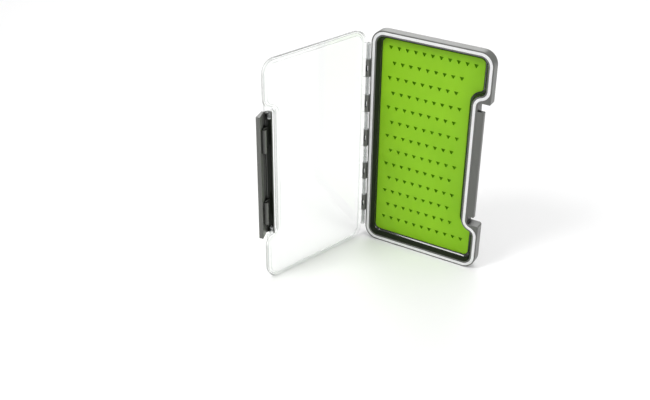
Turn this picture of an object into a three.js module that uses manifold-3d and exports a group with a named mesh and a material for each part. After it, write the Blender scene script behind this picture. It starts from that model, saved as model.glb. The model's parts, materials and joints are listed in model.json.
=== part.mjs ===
// Slim fly box, open and standing on one end wall.  Millimetres, +Z up.
// The parts are drawn in the box's own frame with the box lying shut on its back:
// x runs from the hinge to the latch, y along the hinge, z out of the tray.
import * as THREE from 'three';
import { mergeVertices } from 'three/addons/utils/BufferGeometryUtils.js';
import Module from 'manifold-3d';

const wasm = await Module();
wasm.setup();

// ---- driving dimensions ----
const LID_OPEN = 108;             // degrees from shut, as the box stands
const LATCH_OPEN = 62;            // degrees from shut, as the box stands
const RIM_Z = 9.6;                // top of the tray's rim
const FLOOR_Z = 1.4;              // tray floor thickness
const LID_Z = 9.9;                // underside of the lid's lip, shut
const LID_TOP = 14.2;             // outside of the lid, shut
const LID_PANEL = 1.4;            // lid panel thickness
const RIM_OUT = 2.2;              // rim edge outside the seal line
const RIM_IN = 2.4;               // inner lip edge inside the seal line
const GROOVE_HALF = 1.45;         // half width of the seal's groove
const SEAL_HALF = 1.15;           // half width of the seal
const BASE_FILLET = 2.6;          // rounding along the foot of the tray wall
const GAP = 0.3;                  // working clearance
const FIT = 0.1;                  // radial clearance of a pin in its bore

const BLOCK_END = 53.2;           // flat ends of the two front blocks
const RECESS_X = 93.1;            // outside of the wall behind the latch
const FLANGE = { x: 98.5, half: 46.1, low: 5.8, top: 9.4 };

const HINGE = { x: -0.4, z: 9.75 };
const KNUCKLE_R = 1.8;
const KNUCKLE_LENGTH = 14.4;      // tray knuckles
const KNUCKLE_PITCH = 30.5;
const END_KNUCKLE = 82.0;         // outer end of the lid's last knuckles
const PIN_R = 0.7;
const PIN_HALF = 78.5;

const PIVOT = { x: 97.0, z: 11.9 };
const LATCH_HALF = 52.2;
const STUB_R = 1.5;
const STUB_END = 47.0;            // inner end of the lid's stub pins
const ROLL_R = 2.2;               // the latch's rounded back, concentric with its pivot
const ROLL_INNER = 0.95;
const HOOK = { near: 21.3, far: 40.6, r: 6.6, thick: 1.6, tip: 96.7 };
const EAR = { x: 101.6, far: 61.5, top: 13.5 };

const SLIT_PITCH_X = 7.09;
const SLIT_PITCH_Y = 12.7;
const SLIT_FIRST_X = 15.95;
const SLIT_TOP_Y = 79.2;
const SLIT_ROWS = 13;
const SLIT_WIDE = 3.2;
const SLIT_TALL = 2.9;
const SLIT_DEEP = 1.2;
const INSERT_LOW = 1.7;
const INSERT_TOP = 3.5;

// the line the seal follows, and the edge of the slit insert
const SEAL_LINE = {
  left: 4.0, right: 100.8, half: 91.85, corner: 9.0,
  notch: 90.4, notchEnd: 49.8, frontEnd: 63.6, convex: 7.2,
};
const INSERT_LINE = {
  left: 8.7, right: 94.1, half: 86.3, corner: 4.4,
  notch: 84.5, notchEnd: 50.0, frontEnd: 63.0, convex: 3.2,
};

// ---- outlines ----
function arc(points, cx, cy, r, from, to, steps) {
  for (let i = 0; i <= steps; i += 1) {
    const a = THREE.MathUtils.degToRad(from + ((to - from) * i) / steps);
    points.push(new THREE.Vector2(cx + r * Math.cos(a), cy + r * Math.sin(a)));
  }
}

function offset(line, d) {
  return {
    ...line,
    left: line.left - d,
    right: line.right + d,
    half: line.half + d,
    corner: line.corner + d,
    notch: line.notch + d,
    convex: line.convex + d,
  };
}

function blend(a, b, t) {
  const line = {};
  for (const key of Object.keys(a)) {
    line[key] = a[key] + (b[key] - a[key]) * t;
  }
  return line;
}

// rounded rectangle whose front side steps back through an S at each end of the notch
function notchedOutline(line) {
  const dx = line.right - line.notch;
  const dy = line.frontEnd - line.notchEnd;
  const turn = 2 * Math.atan2(dx, dy);
  const concave = dy / Math.sin(turn) - line.convex;
  const deg = THREE.MathUtils.radToDeg(turn);
  const c = line.corner;
  const points = [];
  arc(points, line.left + c, -line.half + c, c, 180, 270, 6);
  arc(points, line.right - c, -line.half + c, c, 270, 360, 6);
  arc(points, line.right - line.convex, -line.frontEnd, line.convex, 0, deg, 5);
  arc(points, line.notch + concave, -line.notchEnd, concave, 180 + deg, 180, 5);
  arc(points, line.notch + concave, line.notchEnd, concave, 180, 180 - deg, 5);
  arc(points, line.right - line.convex, line.frontEnd, line.convex, -deg, 0, 5);
  arc(points, line.right - c, line.half - c, c, 0, 90, 6);
  arc(points, line.left + c, line.half - c, c, 90, 180, 6);
  return points.filter((p, i) => i === 0 || p.distanceTo(points[i - 1]) > 1e-4);
}

function plainOutline(line) {
  const c = line.corner;
  const points = [];
  arc(points, line.left + c, -line.half + c, c, 180, 270, 6);
  arc(points, line.right - c, -line.half + c, c, 270, 360, 6);
  arc(points, line.right - c, line.half - c, c, 0, 90, 6);
  arc(points, line.left + c, line.half - c, c, 90, 180, 6);
  return points;
}

// ---- solids ----
function fromTriangles(positions, index) {
  const geometry = new THREE.BufferGeometry();
  geometry.setAttribute('position', new THREE.Float32BufferAttribute(positions, 3));
  geometry.setIndex(index);
  return geometry;
}

// a closed body through stacked outlines, each a list of points at one height
function loft(rings) {
  const count = rings[0].points.length;
  const positions = [];
  const index = [];
  for (const ring of rings) {
    for (const p of ring.points) {
      positions.push(p.x, p.y, ring.z);
    }
  }
  for (let k = 0; k + 1 < rings.length; k += 1) {
    for (let i = 0; i < count; i += 1) {
      const j = (i + 1) % count;
      const a = k * count + i;
      const b = k * count + j;
      index.push(a, b, b + count, a, b + count, a + count);
    }
  }
  const last = (rings.length - 1) * count;
  for (const [a, b, c] of THREE.ShapeUtils.triangulateShape(rings[0].points, [])) {
    index.push(a, c, b);
  }
  for (const [a, b, c] of THREE.ShapeUtils.triangulateShape(rings.at(-1).points, [])) {
    index.push(last + a, last + b, last + c);
  }
  return fromTriangles(positions, index);
}

function loftOf(outline, steps) {
  return loft(steps.map(([line, z]) => ({ points: outline(line), z })));
}

// a section of offsets and heights carried round the seal line
function ringOf(line, section) {
  const loops = section.map(([d]) => notchedOutline(offset(line, d)));
  const count = loops[0].length;
  const positions = [];
  const index = [];
  loops.forEach((loop, k) => {
    for (const p of loop) {
      positions.push(p.x, p.y, section[k][1]);
    }
  });
  for (let k = 0; k < loops.length; k += 1) {
    const next = (k + 1) % loops.length;
    for (let i = 0; i < count; i += 1) {
      const j = (i + 1) % count;
      const [a, b] = [k * count + i, k * count + j];
      const [c, d] = [next * count + i, next * count + j];
      index.push(a, b, d, a, d, c);
    }
  }
  return fromTriangles(positions, index);
}

function box(x0, x1, y0, y1, z0, z1) {
  const geometry = new THREE.BoxGeometry(x1 - x0, y1 - y0, z1 - z0);
  return geometry.translate((x0 + x1) / 2, (y0 + y1) / 2, (z0 + z1) / 2);
}

function rod(x, z, r, y0, y1, sides = 20) {
  const geometry = new THREE.CylinderGeometry(r, r, y1 - y0, sides);
  return geometry.translate(x, (y0 + y1) / 2, z);
}

// a profile in the x-z plane run along y
function bar(profile, y0, y1) {
  const shape = new THREE.Shape(profile.map(([x, z]) => new THREE.Vector2(x, z)));
  const geometry = new THREE.ExtrudeGeometry(shape, { depth: y1 - y0, bevelEnabled: false });
  return geometry.rotateX(Math.PI / 2).translate(0, y1, 0);
}

function solid(geometry) {
  const bare = geometry.clone();
  for (const name of Object.keys(bare.attributes)) {
    if (name !== 'position') {
      bare.deleteAttribute(name);
    }
  }
  const merged = mergeVertices(bare, 1e-4);
  return new wasm.Manifold(new wasm.Mesh({
    numProp: 3,
    vertProperties: new Float32Array(merged.attributes.position.array),
    triVerts: new Uint32Array(merged.index.array),
  }));
}

function join(parts) {
  return parts.map(solid).reduce((sum, part) => sum.add(part));
}

function cut(body, parts) {
  return parts.map(solid).reduce((rest, part) => rest.subtract(part), body);
}

function meshOf(name, body, material, origin = { x: 0, z: 0 }) {
  const data = body.getMesh();
  const geometry = new THREE.BufferGeometry();
  geometry.setAttribute('position', new THREE.Float32BufferAttribute(data.vertProperties, 3));
  geometry.setIndex([...data.triVerts]);
  geometry.translate(-origin.x, 0, -origin.z);
  geometry.computeVertexNormals();
  const mesh = new THREE.Mesh(geometry, material);
  mesh.name = name;
  return mesh;
}

// ---- materials ----
const greyPlastic = new THREE.MeshStandardMaterial({ color: 0x6a6c69, roughness: 0.55 });
const clearPlastic = new THREE.MeshStandardMaterial({
  color: 0xf2f5f5, roughness: 0.08, transparent: true, opacity: 0.25,
});
const greenSilicone = new THREE.MeshStandardMaterial({ color: 0x8cc828, roughness: 0.6 });
const whiteRubber = new THREE.MeshStandardMaterial({ color: 0xeeeeee, roughness: 0.5 });
const steel = new THREE.MeshStandardMaterial({ color: 0xb8babb, roughness: 0.3, metalness: 1 });

// ---- hinge spans ----
const trayKnuckles = [-2, -1, 0, 1, 2].map((k) => {
  const middle = k * KNUCKLE_PITCH;
  return [middle - KNUCKLE_LENGTH / 2, middle + KNUCKLE_LENGTH / 2];
});
const lidKnuckles = [];
for (let k = 0; k + 1 < trayKnuckles.length; k += 1) {
  lidKnuckles.push([trayKnuckles[k][1] + GAP, trayKnuckles[k + 1][0] - GAP]);
}
lidKnuckles.push([-END_KNUCKLE, trayKnuckles[0][0] - GAP]);
lidKnuckles.push([trayKnuckles.at(-1)[1] + GAP, END_KNUCKLE]);

function relief([y0, y1]) {
  return rod(HINGE.x, HINGE.z, KNUCKLE_R + GAP, y0 - GAP, y1 + GAP, 28);
}

const pinBore = rod(HINGE.x, HINGE.z, PIN_R + FIT, -END_KNUCKLE - 1, END_KNUCKLE + 1);

// ---- tray ----
function trayBody() {
  const rim = offset(SEAL_LINE, RIM_OUT);
  const steps = [];
  for (let i = 0; i <= 4; i += 1) {
    const a = (i * Math.PI) / 8;
    const inset = BASE_FILLET * (1 - Math.sin(a));
    steps.push([offset(rim, -inset), BASE_FILLET * (1 - Math.cos(a))]);
  }
  steps.push([rim, RIM_Z - 0.3], [offset(rim, -0.3), RIM_Z]);
  const shell = loftOf(plainOutline, steps);
  const latchBay = box(RECESS_X, 110, -BLOCK_END, BLOCK_END, -1, 20);

  const foot = offset(INSERT_LINE, GAP);
  const lip = offset(SEAL_LINE, -RIM_IN);
  const wall = [[FLOOR_Z, 0], [3.4, 0], [4.2, 0.35], [5.6, 0.68], [7.4, 0.88], [RIM_Z + 1, 1]];
  const hollow = loftOf(notchedOutline, wall.map(([z, t]) => [blend(foot, lip, t), z]));
  const groove = ringOf(SEAL_LINE, [
    [GROOVE_HALF, 7.7], [GROOVE_HALF, RIM_Z + 1], [-GROOVE_HALF, RIM_Z + 1], [-GROOVE_HALF, 7.7],
  ]);

  const flange = box(RECESS_X - 1, FLANGE.x, -FLANGE.half, FLANGE.half, FLANGE.low, FLANGE.top);
  const barrels = trayKnuckles.flatMap(([y0, y1]) => [
    rod(HINGE.x, HINGE.z, KNUCKLE_R, y0, y1),
    box(HINGE.x, 2.6, y0, y1, HINGE.z - KNUCKLE_R, RIM_Z),
  ]);
  const carved = cut(solid(shell), [latchBay, ...lidKnuckles.map(relief), hollow]);
  const joined = carved.add(join([flange, ...barrels]));
  return cut(joined, [groove, pinBore]);
}

// ---- seal ----
function sealBody() {
  const h = SEAL_HALF;
  return solid(ringOf(SEAL_LINE, [
    [h, 8.0], [h, 9.35], [0.62, 9.8], [0, 9.95], [-0.62, 9.8], [-h, 9.35], [-h, 8.0],
  ]));
}

// ---- slit insert ----
function insertBody() {
  const pad = loftOf(notchedOutline, [
    [INSERT_LINE, INSERT_LOW],
    [INSERT_LINE, INSERT_TOP - 0.2],
    [offset(INSERT_LINE, -0.2), INSERT_TOP],
  ]);
  const slits = [];
  for (let row = 0; row < SLIT_ROWS; row += 1) {
    const end = row === 0 || row === SLIT_ROWS - 1;
    const count = end ? 11 : 9;
    const shift = row % 2 === 1 ? 0.5 : 0;
    const y = SLIT_TOP_Y - row * SLIT_PITCH_Y;
    for (let column = 0; column < count; column += 1) {
      const x = SLIT_FIRST_X + (column + shift) * SLIT_PITCH_X;
      const corners = [
        new THREE.Vector2(x - SLIT_WIDE / 2, y + SLIT_TALL / 2),
        new THREE.Vector2(x, y - SLIT_TALL / 2),
        new THREE.Vector2(x + SLIT_WIDE / 2, y + SLIT_TALL / 2),
      ];
      slits.push(loft([
        { points: corners, z: INSERT_TOP - SLIT_DEEP },
        { points: corners, z: INSERT_TOP + 1 },
      ]));
    }
  }
  return cut(solid(pad), slits);
}

// ---- hinge pin ----
function pinBody() {
  return solid(rod(HINGE.x, HINGE.z, PIN_R, -PIN_HALF, PIN_HALF));
}

// ---- lid ----
function lidBody() {
  const edge = offset(SEAL_LINE, RIM_OUT);
  const shell = loftOf(notchedOutline, [
    [edge, LID_Z],
    [offset(edge, -0.35), LID_TOP - 1.7],
    [offset(edge, -0.65), LID_TOP - 0.95],
    [offset(edge, -1.25), LID_TOP - 0.3],
    [offset(edge, -2.1), LID_TOP],
  ]);
  const ceiling = LID_TOP - LID_PANEL;
  const hollow = loftOf(notchedOutline, [
    [offset(SEAL_LINE, 1.25), LID_Z - 1],
    [offset(SEAL_LINE, 1.25), LID_Z + 0.4],
    [offset(SEAL_LINE, -1.6), LID_Z + 0.4],
    [offset(SEAL_LINE, -1.6), LID_Z + 1.4],
    [offset(SEAL_LINE, 0.4), LID_Z + 1.4],
    [offset(SEAL_LINE, 0.1), ceiling],
  ]);
  const ears = [-1, 1].flatMap((side) => {
    const [y0, y1] = [side * BLOCK_END, side * EAR.far].sort((a, b) => a - b);
    const [s0, s1] = [side * STUB_END, side * (BLOCK_END + 1)].sort((a, b) => a - b);
    return [
      box(92.8, EAR.x, y0, y1, LID_Z, EAR.top),
      rod(PIVOT.x, PIVOT.z, STUB_R, s0, s1),
    ];
  });
  const barrels = lidKnuckles.flatMap(([y0, y1]) => [
    rod(HINGE.x, HINGE.z, KNUCKLE_R, y0, y1),
    box(HINGE.x, 3.0, y0, y1, LID_Z, HINGE.z + KNUCKLE_R),
  ]);
  const carved = cut(solid(shell), trayKnuckles.map(relief));
  const joined = carved.add(join([...ears, ...barrels]));
  return cut(joined, [hollow, pinBore]);
}

// ---- latch ----
function hookProfile() {
  const top = [];
  const low = [];
  for (let i = 0; i <= 6; i += 1) {
    const x = HOOK.tip + ((101.2 - HOOK.tip) * i) / 6;
    const dx = x - PIVOT.x;
    const outer = HOOK.r + HOOK.thick;
    top.push([x, PIVOT.z - Math.sqrt(HOOK.r * HOOK.r - dx * dx)]);
    low.push([x, PIVOT.z - Math.sqrt(outer * outer - dx * dx)]);
  }
  return [...low, ...top.reverse()];
}

function roll(r, from, to, steps) {
  const points = [];
  arc(points, PIVOT.x, PIVOT.z, r, from, to, steps);
  return points.map((p) => [p.x, p.y]);
}

function latchBody() {
  const shell = [
    [99.7, 0.4], [102.6, 0.4], [102.9, 0.8], [102.9, 10.8], [102.6, 11.1], [102.0, 11.3],
    [101.5, 12.0], [100.7, 12.9], [99.5, 13.6], [98.3, 14.0],
    ...roll(ROLL_R, 80, 195, 8), ...roll(ROLL_INNER, 195, 70, 5),
    [98.7, 12.6], [99.9, 11.9], [100.7, 10.9], [100.9, 9.8],
  ];
  const gusset = [[101.2, 5.0], [101.2, 11.3], [97.9, 13.3], [100.4, 5.0]];
  const parts = [bar(shell, -LATCH_HALF, LATCH_HALF)];
  const cuts = [];
  for (const side of [-1, 1]) {
    const span = (a, b) => [side * a, side * b].sort((p, q) => p - q);
    parts.push(bar(hookProfile(), ...span(HOOK.near, HOOK.far)));
    parts.push(bar(gusset, ...span(HOOK.near, HOOK.near + 1.2)));
    parts.push(bar(gusset, ...span(HOOK.far - 1.2, HOOK.far)));
    parts.push(rod(PIVOT.x, PIVOT.z, ROLL_R, ...span(STUB_END + 0.5, LATCH_HALF)));
    const length = span(STUB_END - 0.4, LATCH_HALF + 1);
    cuts.push(rod(PIVOT.x, PIVOT.z, STUB_R + FIT, ...length));
    cuts.push(box(PIVOT.x - 3, PIVOT.x + 1.1, ...length, 8, PIVOT.z - 0.7));
  }
  return cut(join(parts), cuts);
}

// ---- assembly ----
const root = new THREE.Group();
root.name = 'fly_box';

const tray = new THREE.Group();
tray.name = 'tray';
tray.rotation.x = Math.PI / 2;
tray.add(meshOf('base_tray', trayBody(), greyPlastic));
tray.add(meshOf('seal_ring', sealBody(), whiteRubber));
tray.add(meshOf('slit_insert', insertBody(), greenSilicone));
tray.add(meshOf('hinge_pin', pinBody(), steel));

const lid = new THREE.Group();
lid.name = 'lid';
lid.position.set(HINGE.x, 0, HINGE.z);
lid.rotation.y = -THREE.MathUtils.degToRad(LID_OPEN);
lid.add(meshOf('lid_cover', lidBody(), clearPlastic, HINGE));

const latch = new THREE.Group();
latch.name = 'latch_arm';
latch.position.set(PIVOT.x - HINGE.x, 0, PIVOT.z - HINGE.z);
latch.rotation.y = -THREE.MathUtils.degToRad(LATCH_OPEN);
latch.add(meshOf('latch', latchBody(), greyPlastic, PIVOT));

lid.add(latch);
tray.add(lid);
root.add(tray);

// stand the box with its footprint centred on the origin
root.updateMatrixWorld(true);
const bounds = new THREE.Box3().setFromObject(root, true);
const middle = bounds.getCenter(new THREE.Vector3());
tray.position.set(-middle.x, -middle.y, -bounds.min.z);

export default root;
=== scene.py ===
import json
import math

import bmesh
import bpy
from mathutils import Matrix, Quaternion, Vector
from mathutils.geometry import tessellate_polygon


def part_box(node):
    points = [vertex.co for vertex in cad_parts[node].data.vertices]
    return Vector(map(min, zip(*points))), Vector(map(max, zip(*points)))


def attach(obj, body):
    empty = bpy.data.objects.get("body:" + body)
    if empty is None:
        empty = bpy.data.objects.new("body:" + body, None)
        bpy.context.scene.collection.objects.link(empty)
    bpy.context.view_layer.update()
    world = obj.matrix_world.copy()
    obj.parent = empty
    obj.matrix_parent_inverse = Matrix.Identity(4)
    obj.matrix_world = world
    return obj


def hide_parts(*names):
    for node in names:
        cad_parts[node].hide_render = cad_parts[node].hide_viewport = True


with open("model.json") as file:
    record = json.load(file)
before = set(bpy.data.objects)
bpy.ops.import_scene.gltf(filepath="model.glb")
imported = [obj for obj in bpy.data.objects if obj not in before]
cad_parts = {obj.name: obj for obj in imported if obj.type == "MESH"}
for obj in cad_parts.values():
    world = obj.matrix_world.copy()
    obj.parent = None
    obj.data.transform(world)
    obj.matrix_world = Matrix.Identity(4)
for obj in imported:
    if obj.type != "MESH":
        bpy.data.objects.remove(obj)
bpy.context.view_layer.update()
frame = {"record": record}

# The box's own frame, in millimetres, with the box lying shut on its back:
# x from the hinge to the latch, y along the hinge, z out of the tray.
MM = 0.001
TRAY_FRONT = 103.0
TRAY_LOW, TRAY_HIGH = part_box("base_tray")
ORIGIN = Vector((
    TRAY_HIGH[0] - TRAY_FRONT * MM,
    TRAY_HIGH[1],
    (TRAY_LOW[2] + TRAY_HIGH[2]) / 2,
))
JOINTS = {j["name"]: j for j in frame["record"]["behaviour"]["joints"]}

# ---------------------------------------------------------------- dimensions
RIM_Z = 9.6
FLOOR_Z = 1.4
LID_Z = 9.9
LID_TOP = 14.2
RIM_OUT = 2.2
RIM_IN = 2.4
SEAL_HALF = 1.15
BASE_FILLET = 2.6
COVE_TOP, COVE_LOW = 4.9, 3.2
COVE_POWER = 1.6
BLOCK_FACE = 53.2
RECESS_X = 93.1
HINGE = (-0.4, 9.75)
KNUCKLE_R = 1.8
KNUCKLE_LENGTH = 14.4
KNUCKLE_PITCH = 30.5
KNUCKLE_GAP = 0.3
KNUCKLE_ROOT = 2.9
END_KNUCKLE = 82.0
PIN_R = 0.7
PIN_HALF = 78.5
BORE_PLAY = 0.1
PIVOT = (97.0, 11.9)
ROLL_R = 2.2
LATCH_HALF = 52.2
STUB_R = 1.5
STUB_END = 47.0
EAR_FRONT, EAR_FAR, EAR_TOP = 101.6, 61.5, 13.5
HOOK_NEAR, HOOK_FAR = 21.3, 40.6
FLANGE_FRONT, FLANGE_HALF = 98.5, 46.1
INSERT_TOP = 3.5
INSERT_LOW = 1.7
SLIT_PITCH = (7.09, 12.7)
SLIT_FIRST = (15.95, 79.2)
SLIT_HALF, SLIT_UP, SLIT_DOWN = 1.85, 1.55, 1.6
SLIT_STRAY = 0.05
SHARP_ANGLE = 35

SEAL_LINE = dict(left=4.0, right=100.8, half=91.85, corner=9.0,
                 notch=90.4, notch_end=49.8, front_end=63.6, convex=7.2)
INSERT_LINE = dict(left=8.7, right=94.1, half=86.3, corner=4.4,
                   notch=84.5, notch_end=50.0, front_end=63.0, convex=3.2)
CORNER_STEPS = 12
BEND_STEPS = 12


# ---------------------------------------------------------------- outlines
def arc(cx, cy, r, start, end, steps):
    points = []
    for i in range(steps + 1):
        a = math.radians(start + (end - start) * i / steps)
        points.append((cx + r * math.cos(a), cy + r * math.sin(a)))
    return points


def offset(line, d):
    moved = dict(line)
    for key, sign in (("left", -1), ("right", 1), ("half", 1),
                      ("corner", 1), ("notch", 1), ("convex", 1)):
        moved[key] = line[key] + sign * d
    return moved


def blend(a, b, t):
    return {key: a[key] + (b[key] - a[key]) * t for key in a}


def corners(line):
    """The four rounded corners, from hinge-low round to hinge-high."""
    c, h = line["corner"], line["half"]
    lo, hi = line["left"] + c, line["right"] - c
    n = CORNER_STEPS
    return (arc(lo, c - h, c, 180, 270, n), arc(hi, c - h, c, 270, 360, n),
            arc(hi, h - c, c, 0, 90, n), arc(lo, h - c, c, 90, 180, n))


def notched(line):
    """Rounded rectangle whose front steps back through an S at each end."""
    a, b, c, d = corners(line)
    dx = line["right"] - line["notch"]
    dy = line["front_end"] - line["notch_end"]
    turn = 2 * math.atan2(dx, dy)
    convex = line["convex"]
    concave = dy / math.sin(turn) - convex
    deg = math.degrees(turn)
    low = arc(line["right"] - convex, -line["front_end"], convex, 0, deg, BEND_STEPS)
    low += arc(line["notch"] + concave, -line["notch_end"], concave,
               180 + deg, 180, BEND_STEPS)[1:]
    high = [(x, -y) for x, y in reversed(low)]
    return a + b + low + high + c + d


def blocked(line, inset, bay_inset):
    """The tray's outside: a rounded rectangle with a square bay in its front.

    It has as many points as notched(), in matching places.
    """
    a, b, c, d = corners(offset(line, -inset))
    right = line["right"] - inset
    face = BLOCK_FACE + bay_inset
    wall = RECESS_X - bay_inset
    nose = max(0.9 - bay_inset, 0.05)
    crook = 0.7 + bay_inset
    half = BEND_STEPS // 2
    low = []
    start = line["front_end"]
    for i in range(half):
        low.append((right, -start + (start - face - nose) * i / half))
    low += arc(right - nose, -face - nose, nose, 0, 90, BEND_STEPS - half)
    run = (right - nose) - (wall + crook)
    for i in range(1, half):
        low.append((right - nose - run * i / half, -face))
    low += arc(wall + crook, -face + crook, crook, 270, 180, BEND_STEPS - half)
    high = [(x, -y) for x, y in reversed(low)]
    return a + b + low + high + c + d


def fillet(points, steps=5):
    """Rounds the corners of a closed polygon of (x, z, radius)."""
    made = []
    count = len(points)
    for i, (x, z, r) in enumerate(points):
        here = Vector((x, z))
        before = Vector(points[i - 1][:2]) - here
        after = Vector(points[(i + 1) % count][:2]) - here
        half = before.angle(after) / 2
        reach = r / math.tan(half)
        reach = min(reach, before.length * 0.48, after.length * 0.48)
        if r <= 0 or reach < 1e-4:
            made.append((x, z))
            continue
        r = reach * math.tan(half)
        p = here + before.normalized() * reach
        q = here + after.normalized() * reach
        middle = here + (before.normalized() + after.normalized()).normalized() \
            * (r / math.sin(half))
        u, v = p - middle, q - middle
        sweep = u.angle(v)
        for k in range(steps + 1):
            t = k / steps
            w = (u * math.sin((1 - t) * sweep) + v * math.sin(t * sweep)) / math.sin(sweep)
            made.append(tuple(middle + w))
    return made


def shrink(points, d):
    """Moves each point of a closed polygon inwards by d, mitred."""
    count = len(points)
    area = sum(points[i - 1][0] * points[i][1] - points[i][0] * points[i - 1][1]
               for i in range(count))
    side = 1 if area > 0 else -1
    made = []
    for i in range(count):
        a, b, c = (Vector(points[i - 1]), Vector(points[i]), Vector(points[(i + 1) % count]))
        e, f = (b - a).normalized(), (c - b).normalized()
        n1, n2 = Vector((-e.y, e.x)) * side, Vector((-f.y, f.x)) * side
        m = (n1 + n2)
        m /= max(m.length_squared, 0.5) / 2
        made.append(tuple(b + m * d))
    return made


# ---------------------------------------------------------------- meshes
class Mesh:
    """A bmesh in the box's frame, in millimetres."""

    def __init__(self):
        self.bm = bmesh.new()

    def ring(self, points):
        return [self.bm.verts.new(p) for p in points]

    def bridge(self, a, b):
        count = len(a)
        for i in range(count):
            j = (i + 1) % count
            self.bm.faces.new((a[i], a[j], b[j], b[i]))

    def loft(self, rings, last=True, closed=False):
        """Joins rings in turn, with a cap at each end or, when closed, back round to the first."""
        made = [self.ring(r) for r in rings]
        for a, b in zip(made, made[1:]):
            self.bridge(a, b)
        if closed:
            self.bridge(made[-1], made[0])
            return made
        self.bm.faces.new(list(reversed(made[0])))
        if last:
            self.bm.faces.new(made[-1])
        return made

    def bar(self, profile, y0, y1, edge=0.2, steps=3):
        """A profile in the x-z plane run along y, with its end edges rounded."""
        rings = []
        for i in range(steps + 1):
            a = math.pi / 2 * i / steps
            inner = shrink(profile, edge * (1 - math.sin(a)))
            rings.append([(x, y0 + edge * (1 - math.cos(a)), z) for x, z in inner])
        for i in range(steps, -1, -1):
            a = math.pi / 2 * i / steps
            inner = shrink(profile, edge * (1 - math.sin(a)))
            rings.append([(x, y1 - edge * (1 - math.cos(a)), z) for x, z in inner])
        self.loft(rings)

    def rod(self, x, z, r, y0, y1, edge=0.15, sides=40):
        self.bar([(x + r * math.cos(2 * math.pi * i / sides),
                   z + r * math.sin(2 * math.pi * i / sides)) for i in range(sides)],
                 y0, y1, edge)

    def object(self, name):
        bmesh.ops.recalc_face_normals(self.bm, faces=self.bm.faces)
        data = bpy.data.meshes.new(name)
        self.bm.to_mesh(data)
        self.bm.free()
        data.shade_smooth()
        made = bpy.data.objects.new(name, data)
        bpy.context.scene.collection.objects.link(made)
        return made


def settle(obj):
    """Applies an object's modifiers."""
    graph = bpy.context.evaluated_depsgraph_get()
    data = bpy.data.meshes.new_from_object(obj.evaluated_get(graph))
    obj.modifiers.clear()
    old, obj.data = obj.data, data
    bpy.data.meshes.remove(old)


def combine(obj, others, operation):
    """Joins others to an object or cuts them from it, one by one, and removes them."""
    for other in others:
        m = obj.modifiers.new("combine", "BOOLEAN")
        m.operation, m.object, m.solver = operation, other, "EXACT"
        settle(obj)
        data = other.data
        bpy.data.objects.remove(other)
        bpy.data.meshes.remove(data)


def mark_painted_shade(obj, painted_shade_zone):
    """Marks where a piece gets painted shade, nearly black: the vertices whose places pass the test."""
    marks = obj.data.attributes.new("painted_shade_zone", "FLOAT", "POINT")
    for v in obj.data.vertices:
        marks.data[v.index].value = float(painted_shade_zone(*v.co))


def finish_piece(obj, material, body, node, place=Matrix.Identity(4)):
    """Puts a piece in the CAD's frame, with its material, shading and body, and hides its CAD node."""
    for v in obj.data.vertices:
        v.co = place @ row(*v.co)
    obj.data.materials.clear()
    obj.data.materials.append(material)
    obj.data.shade_smooth()
    obj.data.set_sharp_from_angle(angle=math.radians(SHARP_ANGLE))
    m = obj.modifiers.new("normals", "WEIGHTED_NORMAL")
    m.keep_sharp = True
    m.weight = 80
    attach(obj, body)
    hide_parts(node)


# ---------------------------------------------------------------- positions
def turn(at, degrees):
    """A turn about the joints' common direction through the place given."""
    axis = Vector(JOINTS["lid_hinge"]["axis"])
    place = Matrix.Translation(at)
    return place @ Matrix.Rotation(math.radians(degrees), 4, axis) @ place.inverted()


def row(x, y, z):
    """A place in the box's frame, in millimetres, as a place in the CAD's, in metres."""
    return ORIGIN + Vector((x, -z, y)) * MM


LID_AT_REST = turn(Vector(JOINTS["lid_hinge"]["pos_m"]), -JOINTS["lid_hinge"]["range_deg"][0])
LATCH_AT_REST = LID_AT_REST @ turn(row(PIVOT[0], 0, PIVOT[1]),
                                   -JOINTS["latch_pivot"]["range_deg"][0])

# ---------------------------------------------------------------- camera
CAMERA_AT = (330.0, 361.9, 641.6)
AZIMUTH, ELEVATION, ROLL = 30.23, 30.62, 0.51
LENS = 54.17


def make_camera():
    data = bpy.data.cameras.new("camera")
    data.sensor_width = 36.0
    data.lens = LENS
    data.clip_start, data.clip_end = 0.01, 20
    camera = bpy.data.objects.new("camera", data)
    bpy.context.scene.collection.objects.link(camera)
    a, e = math.radians(AZIMUTH), math.radians(ELEVATION)
    back = Vector((math.sin(a) * math.cos(e), -math.cos(a) * math.cos(e), math.sin(e)))
    camera.location = row(*CAMERA_AT)
    camera.rotation_mode = "QUATERNION"
    level = (-back).to_track_quat("-Z", "Y")
    camera.rotation_quaternion = level @ Quaternion((0, 0, 1), math.radians(ROLL))
    bpy.context.scene.camera = camera


make_camera()


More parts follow.
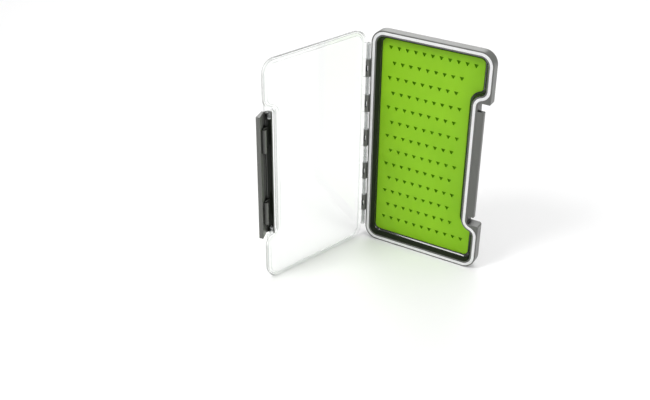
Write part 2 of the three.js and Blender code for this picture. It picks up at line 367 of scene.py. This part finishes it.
# ---------------------------------------------------------------- materials
class Nodes:
    """A small helper for building a material's node tree."""

    def __init__(self, name):
        self.material = bpy.data.materials.new(name)
        self.material.use_nodes = True
        self.tree = self.material.node_tree
        self.shader = self.tree.nodes["Principled BSDF"]
        self.out = self.tree.nodes["Material Output"]

    def add(self, kind, **values):
        node = self.tree.nodes.new(kind)
        for key, value in values.items():
            setattr(node, key, value)
        return node

    def link(self, a, b):
        self.tree.links.new(a, b)

    def feed(self, value, socket):
        """Gives an input a value: another node's socket or a constant."""
        if isinstance(value, bpy.types.NodeSocket):
            self.link(value, socket)
        else:
            socket.default_value = value

    def set(self, **values):
        """Feeds the shader's inputs, named with _ for a space."""
        for key, value in values.items():
            self.feed(value, self.shader.inputs[key.replace("_", " ")])

    def where(self):
        return self.add("ShaderNodeTexCoord").outputs["Object"]

    def noise(self, scale, detail=3.0):
        node = self.add("ShaderNodeTexNoise")
        node.inputs["Scale"].default_value = scale
        node.inputs["Detail"].default_value = detail
        node.inputs["Roughness"].default_value = 0.55
        self.link(self.where(), node.inputs["Vector"])
        return node.outputs["Fac"]

    def ramp(self, factor, stops):
        node = self.add("ShaderNodeValToRGB")
        while len(node.color_ramp.elements) < len(stops):
            node.color_ramp.elements.new(0.5)
        for element, (at, colour) in zip(node.color_ramp.elements, stops):
            element.position = at
            element.color = (*colour, 1)
        self.link(factor, node.inputs["Fac"])
        return node.outputs["Color"]

    def mix(self, factor, a, b, blend="MIX"):
        """Mixes colours a and b, each a socket or a plain colour."""
        node = self.add("ShaderNodeMix", data_type="RGBA", blend_type=blend)
        for index, value in ((0, factor), (6, a), (7, b)):
            self.feed(value, node.inputs[index])
        return node.outputs[2]

    def between(self, factor, low, high, start=0.0, end=1.0, kind="LINEAR"):
        """Goes from low to high, each a socket or a number, as the factor goes from start to end."""
        node = self.add("ShaderNodeMapRange", interpolation_type=kind)
        for name, value in (("Value", factor), ("From Min", start), ("From Max", end),
                            ("To Min", low), ("To Max", high)):
            self.feed(value, node.inputs[name])
        return node.outputs["Result"]

    def spread(self, noise, low, high):
        """Stretches the middle half of a noise over low to high."""
        return self.between(noise, low, high, 0.25, 0.75)

    def part(self, vector, axis):
        split = self.add("ShaderNodeSeparateXYZ")
        self.link(vector, split.inputs["Vector"])
        return split.outputs[axis]

    def rise(self, z0, z1, low=0.0, high=1.0):
        """Goes from low to high between the heights z0 and z1 in the tray."""
        return self.between(self.part(self.where(), "Y"), low, high,
                            ORIGIN.y - z0 * MM, ORIGIN.y - z1 * MM)

    def math(self, operation, *values):
        node = self.add("ShaderNodeMath", operation=operation)
        for value, socket in zip(values, node.inputs):
            self.feed(value, socket)
        return node.outputs["Value"]

    def vector(self, operation, *values):
        node = self.add("ShaderNodeVectorMath", operation=operation)
        for value, socket in zip(values, node.inputs):
            self.feed(value, socket)
        return node.outputs["Value" if operation == "LENGTH" else "Vector"]

    def blend(self, factor, a, b):
        """Mixes two shaders."""
        node = self.add("ShaderNodeMixShader")
        for value, socket in zip((factor, a, b), node.inputs):
            self.link(value, socket)
        return node.outputs["Shader"]

    def bump(self, *layers):
        """layers are (height, distance in metres)."""
        normal = None
        for height, distance in layers:
            node = self.add("ShaderNodeBump")
            node.inputs["Strength"].default_value = 1.0
            node.inputs["Distance"].default_value = distance
            self.link(height, node.inputs["Height"])
            if normal is not None:
                self.link(normal, node.inputs["Normal"])
            normal = node.outputs["Normal"]
        self.link(normal, self.shader.inputs["Normal"])


def grey_plastic(name):
    """Satin grey with painted shade: darker in hollows, and nearly black and glossier where a piece is
    marked for painted shade.
    """
    n = Nodes(name)
    tone = n.ramp(n.noise(40, 4), [(0.3, (0.113, 0.117, 0.108)), (0.7, (0.127, 0.131, 0.121))])
    # Painted shade: an ambient occlusion node darkens the grey in hollows and dims its gloss there.
    hollow = n.add("ShaderNodeAmbientOcclusion")
    hollow.samples = 12
    hollow.only_local = True
    hollow.inputs["Distance"].default_value = 0.03
    painted_hollow_shade = n.ramp(hollow.outputs["AO"], [(0.5, (0.07, 0.07, 0.07)), (0.78, (1.0, 1.0, 1.0))])
    # Painted shade: where a piece is marked, its colour goes nearly black.
    painted_shade_zone = n.add("ShaderNodeAttribute", attribute_name="painted_shade_zone").outputs["Fac"]
    cove = n.rise(COVE_TOP + 0.1, COVE_TOP - 0.5, 0.1, 0.75)
    n.set(Base_Color=n.mix(painted_shade_zone, n.mix(1.0, tone, painted_hollow_shade, "MULTIPLY"), (0.020, 0.023, 0.018, 1)),
          Specular_IOR_Level=n.between(painted_shade_zone, n.between(painted_hollow_shade, 0.0, 0.5), cove),
          Roughness=n.between(painted_shade_zone, n.spread(n.noise(130, 4), 0.29, 0.33), 0.13))
    n.bump((n.noise(2600, 2), 0.000005))
    return n.material


def green_silicone():
    """Lime green, with painted shade darkening the slits, which are also duller."""
    n = Nodes("green_silicone")
    tone = n.ramp(n.noise(30, 3), [(0.3, (0.258, 0.575, 0.005)), (0.7, (0.292, 0.618, 0.008))])
    # Painted shade: the slits' walls and floors, below the pad's top, turn dark green.
    painted_shade_zone = n.rise(INSERT_TOP - 0.04, INSERT_TOP - 0.2)
    n.set(Base_Color=n.mix(painted_shade_zone, tone, (0.11, 0.33, 0.001, 1)),
          Roughness=n.spread(n.noise(200, 4), 0.42, 0.55),
          Specular_IOR_Level=n.between(painted_shade_zone, 0.3, 0.05),
          Subsurface_Weight=0.1,
          Subsurface_Radius=(0.0006, 0.0010, 0.0002),
          Subsurface_Scale=1.0)
    n.bump((n.noise(1500, 3), 0.000008), (n.noise(90, 2), 0.00003))
    return n.material


def white_rubber():
    n = Nodes("white_rubber")
    n.set(Base_Color=n.ramp(n.noise(120, 3), [(0.3, (0.84, 0.84, 0.85)), (0.7, (0.90, 0.90, 0.91))]),
          Roughness=n.spread(n.noise(500, 3), 0.38, 0.5))
    n.bump((n.noise(1800, 2), 0.000006))
    return n.material


def pin_steel():
    """Steel wire with fine streaks along its length."""
    n = Nodes("pin_steel")
    scale = n.add("ShaderNodeMapping")
    scale.inputs["Scale"].default_value = (900, 900, 60)
    n.link(n.where(), scale.inputs["Vector"])
    drawn = n.add("ShaderNodeTexNoise")
    drawn.inputs["Scale"].default_value = 4.0
    n.link(scale.outputs["Vector"], drawn.inputs["Vector"])
    streaks = drawn.outputs["Fac"]
    n.set(Metallic=1.0,
          Base_Color=n.ramp(streaks, [(0.3, (0.70, 0.71, 0.72)), (0.7, (0.82, 0.83, 0.84))]),
          Roughness=n.spread(streaks, 0.22, 0.38))
    n.bump((streaks, 0.000004))
    return n.material


def clear_plastic():
    """Clear, darker at its grazing edges, and cloudy there; painted light makes the rods round the two
    axes pale and cloudy, brightest at the stub tips.
    """
    n = Nodes("clear_plastic")
    n.set(Base_Color=n.ramp(n.noise(60, 2), [(0.3, (0.52, 0.54, 0.54)), (0.7, (0.56, 0.58, 0.58))]),
          Roughness=n.spread(n.noise(300, 3), 0.05, 0.12))
    n.bump((n.noise(35, 2), 0.00002))
    weight = n.add("ShaderNodeLayerWeight")
    weight.inputs["Blend"].default_value = 0.5
    facing = weight.outputs["Facing"]
    milky_edge_and_painted_rod_light = n.between(facing, 0.008, 0.45, 0.55, 1.0, "SMOOTHSTEP")
    # Painted light: the rods round the two axes, most of all the stub tips, are made pale and cloudy.
    for joint, radius, reach, amount in (("latch_pivot", STUB_R, STUB_END + 0.6, 0.8),
                                         ("latch_pivot", STUB_R, BLOCK_FACE, 0.22),
                                         ("lid_hinge", KNUCKLE_R, END_KNUCKLE, 0.4)):
        across = n.vector("SUBTRACT", n.where(), JOINTS[joint]["pos_m"])
        away = n.vector("LENGTH", n.vector("MULTIPLY", across, (1, 1, 0)))
        level = n.math("LESS_THAN", n.math("ABSOLUTE", n.part(across, "Z")), (reach + 0.3) * MM)
        near = n.between(away, 0.0, amount, (radius + 0.3) * MM, (radius + 0.1) * MM)
        milky_edge_and_painted_rod_light = n.math("MAXIMUM", milky_edge_and_painted_rod_light, n.math("MULTIPLY", near, level))
    through = n.add("ShaderNodeBsdfTransparent")
    n.link(n.ramp(facing, [(0.4, (0.99, 0.995, 0.99)), (0.9, (0.15, 0.16, 0.15))]),
           through.inputs["Color"])
    mirror = n.add("ShaderNodeBsdfGlossy")
    mirror.inputs["Color"].default_value = (1, 1, 1, 1)
    mirror.inputs["Roughness"].default_value = 0.04
    reflectance = n.between(n.math("POWER", facing, 5.0), 0.035, 0.4)
    clear = n.blend(reflectance, through.outputs["BSDF"], mirror.outputs["BSDF"])
    n.link(n.blend(milky_edge_and_painted_rod_light, clear, n.shader.outputs["BSDF"]), n.out.inputs["Surface"])
    return n.material


TRAY_GREY = grey_plastic("tray_grey")
LATCH_GREY = grey_plastic("latch_grey")
GREEN = green_silicone()
WHITE = white_rubber()
STEEL = pin_steel()
CLEAR = clear_plastic()

TRAY_KNUCKLES = [(k * KNUCKLE_PITCH - KNUCKLE_LENGTH / 2, k * KNUCKLE_PITCH + KNUCKLE_LENGTH / 2)
                 for k in (-2, -1, 0, 1, 2)]
LID_KNUCKLES = [(a[1] + KNUCKLE_GAP, b[0] - KNUCKLE_GAP)
                for a, b in zip(TRAY_KNUCKLES, TRAY_KNUCKLES[1:])]
LID_KNUCKLES.append((-END_KNUCKLE, TRAY_KNUCKLES[0][0] - KNUCKLE_GAP))
LID_KNUCKLES.append((TRAY_KNUCKLES[-1][1] + KNUCKLE_GAP, END_KNUCKLE))


# ---------------------------------------------------------------- shared parts
def bars(name, profile, places, edge):
    """One bar of the same profile for each (low, high) in places."""
    made = []
    for low, high in places:
        m = Mesh()
        m.bar(profile, low, high, edge)
        made.append(m.object(name))
    return made


def rod(name, x, z, r, y0, y1, sides=40):
    m = Mesh()
    m.rod(x, z, r, y0, y1, sides=sides)
    return m.object(name)


def both_ends(near, far):
    """The same stretch at each end of the box, as (low, high), the low end first."""
    return (-far, -near), (near, far)


def knuckle(root, side):
    """A knuckle's profile round the hinge, from a root between the two heights given."""
    x, z = HINGE
    turns = [math.radians(a) for a in range(-6, 225, 7)]
    return [(KNUCKLE_ROOT, height) for height in root] \
        + [(x + KNUCKLE_R * math.cos(a), z + side * KNUCKLE_R * math.sin(a)) for a in turns]


def hinge_bore():
    return rod("bore", *HINGE, PIN_R + BORE_PLAY, -END_KNUCKLE - 2, END_KNUCKLE + 2)


# ---------------------------------------------------------------- tray
def at(points, z):
    return [(x, y, z) for x, y in points]


def tray():
    rim = offset(SEAL_LINE, RIM_OUT)
    rings = []
    foot_edge = 0.5
    for i in range(9):
        a = math.pi / 2 * i / 8
        z = BASE_FILLET * (1 - math.cos(a))
        up = min(z / foot_edge, 1)
        bay = foot_edge * (1 - math.sqrt(1 - (1 - up) ** 2))
        rings.append(at(blocked(rim, BASE_FILLET * (1 - math.sin(a)), bay), z))
    edge = 0.45
    for i in range(5):
        a = math.pi / 8 * i
        d = edge * (1 - math.cos(a))
        rings.append(at(blocked(rim, d, d), RIM_Z - edge + edge * math.sin(a)))
    g = SEAL_HALF + 0.03
    section = [(g + 0.08, RIM_Z), (g, RIM_Z - 0.08), (g, 7.8), (g - 0.1, 7.7),
               (0.1 - g, 7.7), (-g, 7.8), (-g, RIM_Z - 0.08), (-g - 0.08, RIM_Z)]
    lip = 0.35
    for i in range(4):
        a = math.pi / 6 * i
        section.append((-RIM_IN + lip * (1 - math.sin(a)), RIM_Z - lip * (1 - math.cos(a))))
    for d, z in section:
        rings.append(at(notched(offset(SEAL_LINE, d)), z))
    foot = offset(INSERT_LINE, 0.1)
    top = offset(SEAL_LINE, -RIM_IN)
    bend = blend(foot, top, 0.58)
    bend["left"] = foot["left"] - 0.75
    for i in range(1, 4):
        rings.append(at(notched(blend(top, bend, i / 3)),
                        RIM_Z - lip + (COVE_TOP - RIM_Z + lip) * i / 3))
    for i in range(1, 10):
        a = math.pi / 18 * i
        rings.append(at(notched(blend(foot, bend, math.cos(a) ** COVE_POWER)),
                        COVE_TOP - (COVE_TOP - COVE_LOW) * math.sin(a) ** COVE_POWER))
    rings.append(at(notched(foot), 3.1))
    rings.append(at(notched(foot), FLOOR_Z))
    shell = Mesh()
    shell.loft(rings)
    body = shell.object("base_tray_body")

    flange = fillet([(RECESS_X - 0.7, 5.8, 0), (FLANGE_FRONT, 5.8, 0.5), (FLANGE_FRONT, 9.4, 0.5),
                     (RECESS_X - 0.7, 9.4, 0)])
    combine(body, bars("flange", flange, [(-FLANGE_HALF, FLANGE_HALF)], 0.3), "UNION")
    combine(body, bars("knuckle", knuckle((4.6, 9.4), 1), TRAY_KNUCKLES, 0.22), "UNION")
    x, z = HINGE
    slot = [(x - 1.3, z + 0.2), (x + 0.95, z + 0.2), (x + 0.95, z + 3), (x - 1.3, z + 3)]
    slot_half = 2.4
    middles = [(low + high) / 2 for low, high in TRAY_KNUCKLES]
    slots = [(middle - slot_half, middle + slot_half) for middle in middles]
    combine(body, [hinge_bore()] + bars("slot", slot, slots, 0.3), "DIFFERENCE")
    inner = offset(SEAL_LINE, -RIM_IN)

    def painted_shade_zone(x, y, z):
        bay = abs(y) < BLOCK_FACE + 1 and x > RECESS_X - 1
        within = inner["left"] - 0.1 < x < inner["right"] + 0.1 and abs(y) < inner["half"] + 0.1
        return within and not bay and 1 < z < RIM_Z - 0.2

    # Painted shade: the tray's walls and floor within the rim go nearly black.
    mark_painted_shade(body, painted_shade_zone)
    finish_piece(body, TRAY_GREY, "tray", "base_tray")


def seal():
    w = SEAL_HALF
    section = [(w, 8.0), (w, 9.5)]
    for i in range(1, 12):
        a = math.pi * i / 12
        section.append((w * math.cos(a), 9.5 + 0.45 * math.sin(a)))
    section += [(-w, 9.5), (-w, 8.0)]
    m = Mesh()
    m.loft([at(notched(offset(SEAL_LINE, d)), z) for d, z in section], closed=True)
    finish_piece(m.object("rim_seal"), WHITE, "tray", "seal_ring")


def slit_places():
    for row_number in range(13):
        count = 11 if row_number in (0, 12) else 9
        shift = 0.5 if row_number % 2 else 0
        for column in range(count):
            yield (SLIT_FIRST[0] + (column + shift) * SLIT_PITCH[0],
                   SLIT_FIRST[1] - row_number * SLIT_PITCH[1])


def insert():
    m = Mesh()
    edge = 0.35
    rings = [at(notched(offset(INSERT_LINE, -0.15)), INSERT_LOW),
             at(notched(INSERT_LINE), INSERT_LOW + 0.15),
             at(notched(INSERT_LINE), INSERT_TOP - edge)]
    for i in range(1, 5):
        a = math.pi / 8 * i
        rings.append(at(notched(offset(INSERT_LINE, -edge * (1 - math.cos(a)))),
                        INSERT_TOP - edge + edge * math.sin(a)))
    loops = [m.loft(rings, last=False)[-1]]
    for k, (x, y) in enumerate(slit_places()):
        x += SLIT_STRAY * math.cos(k * 1.7)
        y += SLIT_STRAY * math.sin(k * 2.4)
        shape = fillet([(x - SLIT_HALF, y + SLIT_UP, 0.3), (x, y - SLIT_DOWN, 0.3),
                        (x + SLIT_HALF, y + SLIT_UP, 0.3)], 3)
        steps = [(-0.16, 0.0), (-0.06, 0.03), (0.0, 0.12), (0.02, 0.5), (0.06, 1.3)]
        made = [m.ring(at(shrink(shape, d), INSERT_TOP - deep)) for d, deep in steps]
        for a, b in zip(made, made[1:]):
            m.bridge(a, b)
        m.bm.faces.new(made[-1])
        loops.append(made[0])
    flat = [v for loop in loops for v in loop]
    for tri in tessellate_polygon([[Vector(v.co) for v in loop] for loop in loops]):
        m.bm.faces.new([flat[i] for i in tri])
    finish_piece(m.object("slit_pad"), GREEN, "tray", "slit_insert")


def pin():
    m = Mesh()
    m.rod(HINGE[0], HINGE[1], PIN_R, -PIN_HALF, PIN_HALF, edge=0.2, sides=32)
    finish_piece(m.object("hinge_wire"), STEEL, "tray", "hinge_pin")


# ---------------------------------------------------------------- lid
def lid():
    edge = offset(SEAL_LINE, RIM_OUT)
    rings = []
    for i in range(7):
        a = math.pi / 12 * i
        rings.append(at(notched(offset(edge, -0.4 - 1.7 * (1 - math.sin(a)))),
                        LID_TOP - 1.7 * (1 - math.cos(a))))
    rings += [at(notched(offset(edge, -0.05)), LID_Z + 0.2),
              at(notched(offset(edge, -0.2)), LID_Z)]
    shell = Mesh()
    shell.loft(rings)
    body = shell.object("lid_body")
    inner = [(1.9, LID_Z - 0.5), (1.25, LID_Z + 0.15), (1.25, LID_Z + 0.4), (-1.45, LID_Z + 0.4),
             (-1.6, LID_Z + 0.55), (-1.6, LID_Z + 1.2), (-1.45, LID_Z + 1.35), (0.0, LID_Z + 1.4),
             (0.35, LID_Z + 1.6), (0.3, LID_Z + 2.2), (0.1, LID_Z + 2.65), (-0.5, LID_Z + 2.9)]
    hollow = Mesh()
    hollow.loft([at(notched(offset(SEAL_LINE, d)), z) for d, z in inner])

    ear_root, ear_foot = 92.95, 9.93
    ear = fillet([(ear_root, ear_foot, 0), (EAR_FRONT, ear_foot, 0.4), (EAR_FRONT, EAR_TOP, 1.2),
                  (ear_root, EAR_TOP, 0)])
    combine(body, bars("knuckle", knuckle((13.2, 10.0), -1), LID_KNUCKLES, 0.22), "UNION")
    combine(body, bars("ear", ear, both_ends(BLOCK_FACE, EAR_FAR), 0.3), "UNION")
    combine(body, [hollow.object("hollow")], "DIFFERENCE")
    combine(body, [rod("stub", *PIVOT, STUB_R, *place, sides=28)
                   for place in both_ends(STUB_END, BLOCK_FACE + 1)], "UNION")
    combine(body, [hinge_bore()], "DIFFERENCE")
    finish_piece(body, CLEAR, "lid", "lid_cover", place=LID_AT_REST)


# ---------------------------------------------------------------- latch
def latch():
    px, pz = PIVOT
    shell = fillet([
        (94.93, 11.32, 0), (95.75, 11.26, 0), (96.1, 11.75, 0), (96.1, 12.3, 0.3), (96.8, 12.95, 0.5),
        (98.7, 12.6, 1.5), (100.3, 11.4, 1.5), (100.9, 9.8, 1.0), (99.45, 0.4, 0.4),
        (102.9, 0.4, 0.4), (102.9, 11.15, 0.45), (101.75, 11.35, 0.5), (100.9, 12.8, 2.0),
        (98.6, 14.0, 2.5),
    ] + [(x, z, 0) for x, z in arc(px, pz, ROLL_R, 80, 186, 12)])
    m = Mesh()
    m.bar(shell, -LATCH_HALF, LATCH_HALF, 0.25, 4)
    body = m.object("latch_body")

    hook_root, hook_tip, hook_turn = 101.4, 96.7, 6.6
    hook = []
    for i in range(9):
        x = hook_tip + (hook_root - hook_tip) * i / 8
        hook.append((x, pz - math.sqrt(hook_turn ** 2 - (x - px) ** 2), 0))
    hook = fillet(hook + [(hook_root, 5.0, 0), (100.4, 4.7, 0), (100.1, 3.6, 0.35), (hook_tip, 3.9, 0.4)])
    rib = fillet([(101.2, 4.75, 0), (101.2, 11.3, 0), (97.9, 13.3, 0), (100.45, 4.8, 0)])
    ridge = fillet([(100.6, 11.75, 0), (99.96, 10.8, 0.15), (99.38, 11.18, 0.15), (100.02, 12.13, 0)])
    combine(body, bars("ridge", ridge, [(1 - STUB_END, STUB_END - 1)], 0.1), "UNION")
    combine(body, [rod("boss", px, pz, ROLL_R - 0.12, *place)
                   for place in both_ends(STUB_END + 0.5, LATCH_HALF - 0.3)], "UNION")
    mouth = [(px - 3, 8), (px + 1.1, 8), (px + 1.1, pz - 0.7), (px - 3, pz - 0.7)]
    for low, high in both_ends(STUB_END - 0.4, LATCH_HALF + 2):
        cut = Mesh()
        cut.bar(mouth, low, high, 0.05, 1)
        bore = rod("bore", px, pz, STUB_R + BORE_PLAY, low, high, sides=28)
        combine(body, [bore, cut.object("mouth")], "DIFFERENCE")
    rib_near, rib_far = 0.25, 1.3
    clips = (("hook", hook, HOOK_NEAR, HOOK_FAR),
             ("rib", rib, HOOK_NEAR + rib_near, HOOK_NEAR + rib_far),
             ("rib", rib, HOOK_FAR - rib_far, HOOK_FAR - rib_near))
    for end in (0, 1):
        for name, profile, near, far in clips:
            combine(body, bars(name, profile, [both_ends(near, far)[end]], 0.2), "UNION")

    def under_roll(x, y, z):
        away = math.hypot(x - px, z - pz)
        corner = away < 3.6 and 96 < x < 100.6 and 11.3 < z < 12.7
        return abs(y) < STUB_END and (away < 2.0 or corner)

    # Painted shade: the latch goes nearly black under its roll and in the corner beside it.
    mark_painted_shade(body, under_roll)
    finish_piece(body, LATCH_GREY, "latch_arm", "latch", place=LATCH_AT_REST)


tray()
seal()
insert()
pin()
lid()
latch()


# ---------------------------------------------------------------- floor and light
def studio():
    bm = bmesh.new()
    half = 3.0
    for x, y in ((-half, -half), (half, -half), (half, half), (-half, half)):
        bm.verts.new((x, y, 0))
    bm.faces.new(bm.verts)
    data = bpy.data.meshes.new("floor")
    bm.to_mesh(data)
    bm.free()
    floor = bpy.data.objects.new("floor", data)
    bpy.context.scene.collection.objects.link(floor)
    n = Nodes("floor")
    n.set(Base_Color=(0.94, 0.94, 0.94, 1), Roughness=0.9, Specular_IOR_Level=0.0)
    data.materials.append(n.material)

    def area(name, where, target, size, power):
        light = bpy.data.lights.new(name, "AREA")
        light.shape, light.size, light.energy = "DISK", size, power
        lamp = bpy.data.objects.new(name, light)
        bpy.context.scene.collection.objects.link(lamp)
        lamp.location = where
        lamp.rotation_mode = "QUATERNION"
        lamp.rotation_quaternion = (Vector(target) - Vector(where)).to_track_quat("-Z", "Y")

    aim = (0.0, 0.0, 0.1)
    area("back", (-0.75, 1.4, 1.1), aim, 1.5, 14)
    area("front", (-0.35, -0.6, 0.95), aim, 0.4, 5)
    area("top", (0.2, 0.2, 1.8), aim, 1.4, 6)
    area("right", (1.3, -0.1, 1.0), aim, 0.8, 9)
    world = bpy.data.worlds.new("studio")
    world.use_nodes = True
    world.node_tree.nodes["Background"].inputs["Color"].default_value = (1, 1, 1, 1)
    world.node_tree.nodes["Background"].inputs["Strength"].default_value = 0.4
    bpy.context.scene.world = world
    bpy.context.scene.view_settings.view_transform = "Standard"


studio()
